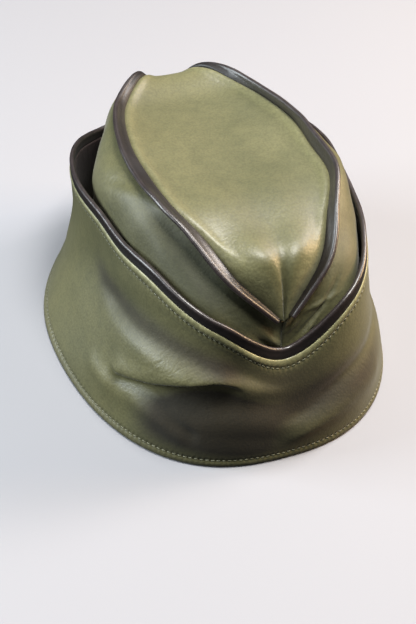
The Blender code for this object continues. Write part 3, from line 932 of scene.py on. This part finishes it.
def makeFacing():
    # dark facing inside the curtain: its section follows the wall at two depths
    angle = np.linspace(0, 2 * math.pi, facing["turns"], endpoint=False)[:, None]
    top = curtainTop(angle)
    near = cap["outerLeather"] + cap["gap"]
    start = near / top
    level = start + (1 - start) * np.linspace(0, 1, facing["rows"])[None, :]
    ripple = softNoise(18 * np.cos(angle) + 5 * level, 18 * np.sin(angle) + 8 * level, 11)
    ripple = facing["ripple"] * ripple * ease((1 - level) / 0.1)
    innerRadius = insetRadius(angle, level, near + cap["liningLeather"]) - np.abs(ripple)
    outer = polarPoints(angle, insetRadius(angle, level, near), level * top)
    inner = polarPoints(angle, innerRadius, level * top)
    points = np.concatenate([outer, inner[:, ::-1]], 1)
    rubbed = bell((1 - level[:, ::-1]) / 0.06) * facing["wear"]
    values = {"wear": np.concatenate([level * 0, rubbed], 1), "crumple": facing["crumple"]}
    piece = gridPiece("curtainFacing", points, liningLeather, True, values)
    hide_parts("curtain_lining")


def sweepStrip(name, path, out, width, tongue, ring, node):
    # folded strip: path + reach * out + side * (tangent x out); round at the sewn edge, flat faces that pull
    # in a little, a fuller bead along the fold; the tongue moves the sewn edge down into the seam
    tangent = unit(np.roll(path, -1, 0) - np.roll(path, 1, 0) if ring else np.gradient(path, axis=0))
    out = unit(out - (out * tangent).sum(1, keepdims=True) * tangent)
    across = np.cross(tangent, out)
    half = piping["thickness"] / 2
    fold = np.radians([-90, -65, -40, -15, 15, 40, 65, 90])[None, :]
    sewn = np.radians([90, 120, 160, 200, 240, 270])[None, :]
    share = np.array([0.85, 0.6, 0.35, 0.12])[None, :]
    width, tongue = width[:, None], tongue[:, None]
    flatReach = half + share * (width - 2 * half)
    flatSide = half * (1 - piping["pullIn"] * np.sin(math.pi * np.clip(share * 1.1, 0, 1)) ** 2)
    reach = np.concatenate([
        width - half + half * np.cos(fold),
        flatReach,
        half - tongue + half * np.cos(sewn),
        flatReach[:, ::-1],
    ], 1)
    side = np.concatenate([half * np.sin(fold), flatSide, half * np.sin(sewn), -flatSide[:, ::-1]], 1)
    side = np.broadcast_to(side, reach.shape)
    points = path[:, None] + reach[..., None] * out[:, None] + side[..., None] * across[:, None]
    bead = 1.6 * half
    folded = np.clip((reach - (width - bead)) / bead, 0, 1)
    # painted shade where the strip goes down into its seam
    values = {"wear": 0.5 * folded, "crumple": 0.08, "paintedShade": 0.7 * bell(reach / 0.0008)}
    piece = gridPiece(name, points, darkLeather, ring, values)
    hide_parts(node)


def makeCrownPiping(name, node, side, seed):
    # the strip follows its seam, leans as the sections say and sways a little
    station = np.linspace(piping["start"], 1 - piping["start"], piping["crownStations"])
    flat = station * 0
    path = seamPoints(station, side)
    out = pipingFrame(station, side, piping["sway"] * softNoise(station * 50, flat, seed))[0]
    tongue = piping["tongue"] * np.sin(leanAngle(station, side))
    width = piping["crownWidth"] * seamColumn(7, station)
    width = width * (1 + piping["uneven"] * softNoise(station * 60, flat, seed + 1))
    sweepStrip(name, path + cap["gap"] * out, out, width, tongue, False, node)


def makeCurtainPiping():
    # the strip stands on the top edge and leans as the wall below it does
    angle = np.linspace(0, 2 * math.pi, piping["curtainTurns"], endpoint=False)
    level = np.ones_like(angle)
    middle = (cap["outerLeather"] + cap["gap"] + cap["liningLeather"]) / 2
    path = polarPoints(angle, insetRadius(angle, level, middle), curtainTop(angle) + cap["gap"])
    below = polarPoints(angle, insetRadius(angle, level - 0.1, middle), 0.9 * curtainTop(angle))
    uneven = piping["uneven"] * softNoise(np.cos(angle) * 30, np.sin(angle) * 30, 21)
    width = piping["curtainWidth"] * (1 + uneven)
    tongue = 0 * angle + piping["curtainTongue"]
    sweepStrip("curtainPiping", path, unit(path - below), width, tongue, True, "curtain_piping")


def crownFolds(station, share, side):
    # slanted bells on the free part of the crown side, in metres
    relief = np.zeros(np.broadcast(station, share).shape)
    for foldSide, where, height, depth, reach, tall, slant in crown["folds"]:
        if foldSide == side:
            lift = share - height - slant * (station - where)
            relief += depth * bell((station - where) / reach) * bell(lift / tall)
    return relief


def makeCrownSide(name, node, side):
    # nested in the curtain below, then a quadratic curve waist -> bend -> seam
    station = np.linspace(0, 1, crown["sideStations"])
    angle = (side * math.pi * station)[:, None]
    top = curtainTop(angle)
    start = (cap["outerLeather"] + cap["gap"]) / top
    level = start + (1 - start) * np.linspace(0, 1, crown["lowRows"])[None, :]
    room = crown["room"] * curtainColumn(4, station)[:, None]
    low = polarPoints(angle, insetRadius(angle, level, crownDepth() + room * ease(level)), level * top)
    waist = low[:, -1]
    # a point a little below the waist, for the direction in which the leather leaves the curtain
    near = 0.875
    nearRadius = insetRadius(angle, near + 0 * angle, crownDepth() + room * ease(near))
    upright = waist - polarPoints(angle, nearRadius, near * top)[:, 0]
    upright = upright / upright[:, 2:3]
    seam = seamPoints(station, side)
    bend = waist + upright * seamColumn(8, station)[:, None] * (seam[:, 2:3] - waist[:, 2:3])
    out, under, up = pipingFrame(station, side)
    # the edge is sewn a little into the piping and drops only where the piping stands up
    drop = crown["seamDrop"] * np.clip((out * up).sum(-1, keepdims=True), 0, 1)
    last = seam + under * (piping["thickness"] / 2 - crown["sewnIn"]) - up * drop
    part = np.linspace(0, 1, crown["highRows"])[None, 1:, None]
    high = (1 - part) ** 2 * waist[:, None] + 2 * part * (1 - part) * bend[:, None] + part**2 * last[:, None]
    outer = np.concatenate([low, high], 1)
    normal = gridNormals(outer)
    normal *= np.sign((normal * (outer - outer.mean((0, 1)))).sum(-1).mean())
    for end in (0, -1):
        normal[end, :, 0] = 0
        normal[end] /= (normal[end] ** 2).sum(-1, keepdims=True)
    share = np.concatenate([np.zeros(low.shape[1]), part[0, :, 0]])[None, :]
    free = share > 0
    s = station[:, None]
    relief = crownFolds(s, share, side) * ease(share / 0.12) * ease((1 - share) / 0.10)
    ripple = 0.0002 * softNoise(s * 50, share * 6, 31 + side)
    relief = relief + ripple * ease(share / 0.1) * ease((1 - share) / 0.1)
    toSeam = (1 - share) * np.linalg.norm(seam - waist, axis=1)[:, None]
    seamLine = bell(toSeam / crown["seamDrawWidth"])
    relief = relief - crown["seamDraw"] * seamLine * free
    endLine = bell(s / crown["endDrawStations"]) + bell((1 - s) / crown["endDrawStations"])
    relief = relief - crown["endDraw"] * endLine * ease(share / 0.1)
    # the inner face follows the hollows, so that they never cut through the leather
    skin = outer + relief[..., None] * normal
    inner = outer + (np.minimum(relief, 0) - cap["outerLeather"])[..., None] * normal
    for grid in (skin, inner):
        for end in (0, -1):
            grid[end, :, 0] = side * cap["gap"] / 2
    points = np.concatenate([skin, inner[:, ::-1]], 1)
    values = {key: np.zeros(points.shape[:2]) for key in ("crumple", "paintedShade", "wear")}
    face = slice(0, skin.shape[1])
    values["crumple"][:, face] = 0.12 + 0.6 * bell((s - 0.06) / 0.06) * free + 0.35 * bell((s - 0.5) / 0.08)
    # painted shade along the seam and at the two end seams
    values["paintedShade"][:, face] = 0.7 * seamLine * free + 0.5 * (bell(s / 0.004) + bell((1 - s) / 0.004))
    # painted shade below the piping, stronger on the left side
    underPipingShade = 1.05 if side > 0 else 0.5
    values["paintedShade"][:, face] += underPipingShade * bell((s - 0.19) / 0.19) * bell((share - 0.6) / 0.6)
    values["paintedShade"] = np.clip(values["paintedShade"], 0, 1)
    values["wear"][:, face] = 0.25 * bell((share - 0.93) / 0.05)
    piece = gridPiece(name, points, plainOlive, False, values)
    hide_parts(node)


def makeCrownTop():
    # almond panel: seam height + (hump * dart - sag) * (1 - across^2) + puff * pinch * (1 - across^4), with a
    # roll beside the seam; dart and pinch are 0 on the centre line and 1 away from it
    station = np.linspace(crown["topStart"], 1 - crown["topStart"], crown["topStations"])[:, None]
    across = np.sin(np.linspace(-math.pi / 2, math.pi / 2, crown["topRows"]))[None, :]
    seam = seamPoints(station, 1)
    halfWidth = seam[..., 0]
    x = halfWidth * across
    y = np.broadcast_to(seam[..., 1], x.shape)
    dart = 1 - bell(across / crown["dartShare"])
    puff = crown["puff"] * bell((station - crown["puffStation"]) / crown["puffReach"])
    puff = puff * (1 - bell(station / crown["puffStart"]))
    rise = crown["hump"] * seamColumn(4, station) * dart - crown["sag"] * seamColumn(3, station)
    pinch = 1 - bell(across / crown["pinchShare"]) * bell(station / crown["pinchReach"])
    height = seam[..., 2] + rise * (1 - across**2) + puff * pinch * (1 - across**4)
    toEdge = halfWidth * (1 - np.abs(across))
    # the panel swells beside the seam and tucks under right at it
    roll = 0.0009 * bell((toEdge - 0.0030) / 0.0024) - 0.0003 * bell(toEdge / 0.0010)
    height = height + roll * ease(halfWidth / 0.010)
    # sharp crease of the dart between the two humps, fading towards the front
    crease = bell(x / 0.0009) * bell(station / 0.08)
    height = height - 0.0012 * crease
    # faint curved wrinkles on the left half
    arcs = np.sin(320 * (x + 0.9 * (y - 0.01) ** 2 * 8 + 0.06 * y))
    arcs = arcs * bell((x - 0.027) / 0.012) * bell((y + 0.012) / 0.03)
    height = height + 0.00008 * arcs + 0.00025 * softNoise(x * 160, y * 120, 41) * ease(toEdge / 0.006)
    upper = np.stack([x, y, height], -1)
    normal = gridNormals(upper)
    normal = normal * np.sign(normal[..., 2:3])
    lower = upper - normal * cap["outerLeather"]
    points = np.concatenate([upper, lower[:, ::-1]], 1)
    values = {key: np.zeros(points.shape[:2]) for key in ("crumple", "wear", "paintedShade")}
    face = slice(0, upper.shape[1])
    values["crumple"] += 0.06
    values["crumple"][:, face] += 0.35 * bell((station - 0.10) / 0.06) + 0.2 * bell(toEdge / 0.006)
    values["wear"][:, face] = 0.20 * bell((toEdge - 0.003) / 0.003)
    # painted shade in the dart's crease and where the panel tucks into the seam
    values["paintedShade"][:, face] = 0.8 * crease + 0.6 * bell(toEdge / 0.0008)
    piece = gridPiece("crownTop", points, plainOlive, False, values)
    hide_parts("crown_top")


makeCurtain()
makeCurtainStitches()
makeFacing()
makeCurtainPiping()
makeCrownSide("crownSideLeft", "crown_side_left", 1)
makeCrownSide("crownSideRight", "crown_side_right", -1)
makeCrownTop()
makeCrownPiping("crownPipingLeft", "crown_piping_left", 1, 51)
makeCrownPiping("crownPipingRight", "crown_piping_right", -1, 61)

# Floor, light and camera
studio = {
    # name, place, aim, size in metres, watts, colour
    "lights": (
        ("keySoftbox", (-0.09, 0.17, 1.19), (0, 0, 0.06), (0.45, 0.45), 21.5, (1.0, 0.98, 0.93)),
        ("frontSoftbox", (-0.45, -0.80, 1.05), (0, 0, 0.08), (1.2, 1.2), 2.5, (1.0, 0.99, 0.98)),
        ("leftSoftbox", (1.00, -0.32, 0.48), (0, 0, 0.06), (0.5, 0.7), 17, (0.88, 0.96, 1.0)),
        ("bulgeSoftbox", (0.95, 0.38, 0.60), (0, 0, 0.05), (0.5, 0.5), 1.6, (0.92, 0.98, 1.0)),
        ("glintSoftbox", (-0.78, -0.12, 0.74), (0, 0, 0.09), (0.30, 0.30), 8, (1.0, 0.93, 0.90)),
        ("rightSoftbox", (-0.95, 0.12, 0.36), (0, 0, 0.04), (0.4, 0.5), 11, (1.0, 0.68, 0.38)),
    ),
    "floorSize": 6.0,
    "floorDrop": 0.0002,      # just below the rim, so that the two faces don't flicker
    "floorRough": 0.85,
    "floorPatches": 3.0,
    "floorDarkest": 0.985,
    "floorColour": (0.30, 0.305, 0.335),
    "worldColour": (0.86, 0.82, 0.80),
    "worldStrength": 0.032,
}


def makeFloor():
    # one pale square, slightly uneven in tone
    half = studio["floorSize"] / 2
    mesh = bpy.data.meshes.new("studioFloor")
    corners = [(-half, -half), (half, -half), (half, half), (-half, half)]
    mesh.from_pydata([(x, y, -studio["floorDrop"]) for x, y in corners], [], [(0, 1, 2, 3)])
    material, tree, shader, place = newMaterial("paleFloor")
    soft = noiseNode(tree, place, studio["floorPatches"], 2.0)
    low = tuple(studio["floorDarkest"] * c for c in studio["floorColour"])
    tree.links.new(mixColour(tree, soft, low, studio["floorColour"]), shader.inputs["Base Color"])
    shader.inputs["Roughness"].default_value = studio["floorRough"]
    mesh.materials.append(material)
    floor = bpy.data.objects.new("studioFloor", mesh)
    bpy.context.scene.collection.objects.link(floor)
    floor.visible_diffuse = False
    floor.visible_glossy = False


def areaLight(name, place, target, size, watts, colour):
    # a rectangular softbox turned to its aim
    light = bpy.data.lights.new(name, "AREA")
    light.shape = "RECTANGLE"
    light.size, light.size_y = size
    light.energy = watts
    light.color = colour
    lamp = bpy.data.objects.new(name, light)
    lamp.location = place
    lamp.rotation_euler = (Vector(target) - Vector(place)).to_track_quat("-Z", "Y").to_euler()
    bpy.context.scene.collection.objects.link(lamp)


def makeLights():
    world = bpy.data.worlds.new("studioWorld")
    world.use_nodes = True
    background = world.node_tree.nodes["Background"]
    background.inputs["Color"].default_value = (*studio["worldColour"], 1)
    background.inputs["Strength"].default_value = studio["worldStrength"]
    bpy.context.scene.world = world
    for row in studio["lights"]:
        areaLight(*row)


photoView = {
    # fitted to the photograph: azimuth from the back, elevation and roll in degrees
    "azimuth": 25.195,
    "elevation": 45.492,
    "roll": 6.02,
    # distance and aim in metres for a cap of an earlier size, and what it grew by since
    "distance": 0.617272,
    "aim": (0.005803, 0.012063, 0.012101),
    "grown": 1.04,
    "focalPixels": 1276.13,
    "pixelsHigh": 624,
    "sensor": 36,
    "nearest": 0.01,
}


def makeCamera():
    # back, right and up are the camera's axes, turned by the roll
    view = photoView
    azimuth, elevation, roll = (math.radians(view[key]) for key in ("azimuth", "elevation", "roll"))
    level = math.cos(elevation)
    back = Vector((math.sin(azimuth) * level, math.cos(azimuth) * level, math.sin(elevation)))
    right = Vector((-math.cos(azimuth), math.sin(azimuth), 0))
    up = back.cross(right)
    rightRolled = right * math.cos(roll) + up * math.sin(roll)
    upRolled = up * math.cos(roll) - right * math.sin(roll)
    aim = Vector([view["grown"] * part for part in view["aim"]])
    place = aim + back * (view["distance"] * view["grown"])
    data = bpy.data.cameras.new("photoCamera")
    data.lens = view["focalPixels"] / view["pixelsHigh"] * view["sensor"]
    data.sensor_width = view["sensor"]
    data.sensor_fit = "AUTO"
    data.clip_start = view["nearest"]
    camera = bpy.data.objects.new("photoCamera", data)
    turn = Matrix((rightRolled, upRolled, back)).transposed().to_4x4()
    camera.matrix_world = Matrix.Translation(place) @ turn
    bpy.context.scene.collection.objects.link(camera)
    bpy.context.scene.camera = camera


makeFloor()
makeLights()
makeCamera()
bpy.context.scene.view_settings.view_transform = "Standard"
